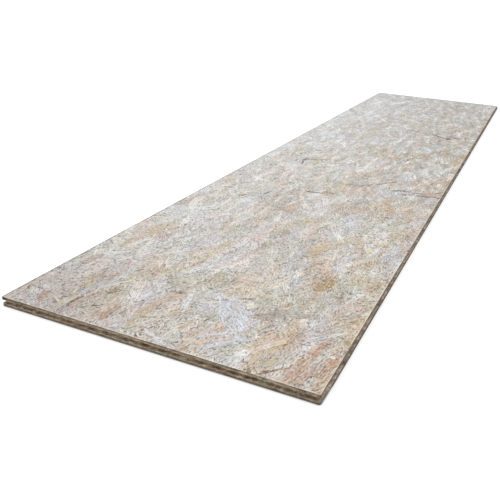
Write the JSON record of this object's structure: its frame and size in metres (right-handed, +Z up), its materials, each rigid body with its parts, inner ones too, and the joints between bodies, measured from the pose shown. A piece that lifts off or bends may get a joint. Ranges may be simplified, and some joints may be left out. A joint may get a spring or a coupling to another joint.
{
  "type": "tongue-and-groove osb flooring panel",
  "caption": "Long oriented strand board panel with flat faces, grooves milled along two adjoining edges and matching tongues along the opposite two, for laying floors and decks.",
  "frame": {"origin": "centre of the panel's underside, halfway between lip edge and shoulder both ways", "axes": "+X across the panel from the grooved long edge to the tongued one, +Y along the panel from the grooved end to the tongued one, +Z up out of the upper face"},
  "size_m": [0.595, 2.405, 0.018],
  "materials": {
    "strand_board": "pressed softwood strands, weathered pale grey-tan, matt, with milled darker edges"
  },
  "bodies": {
    "root": {"osb_panel": "strand_board"}
  },
  "joints": []
}
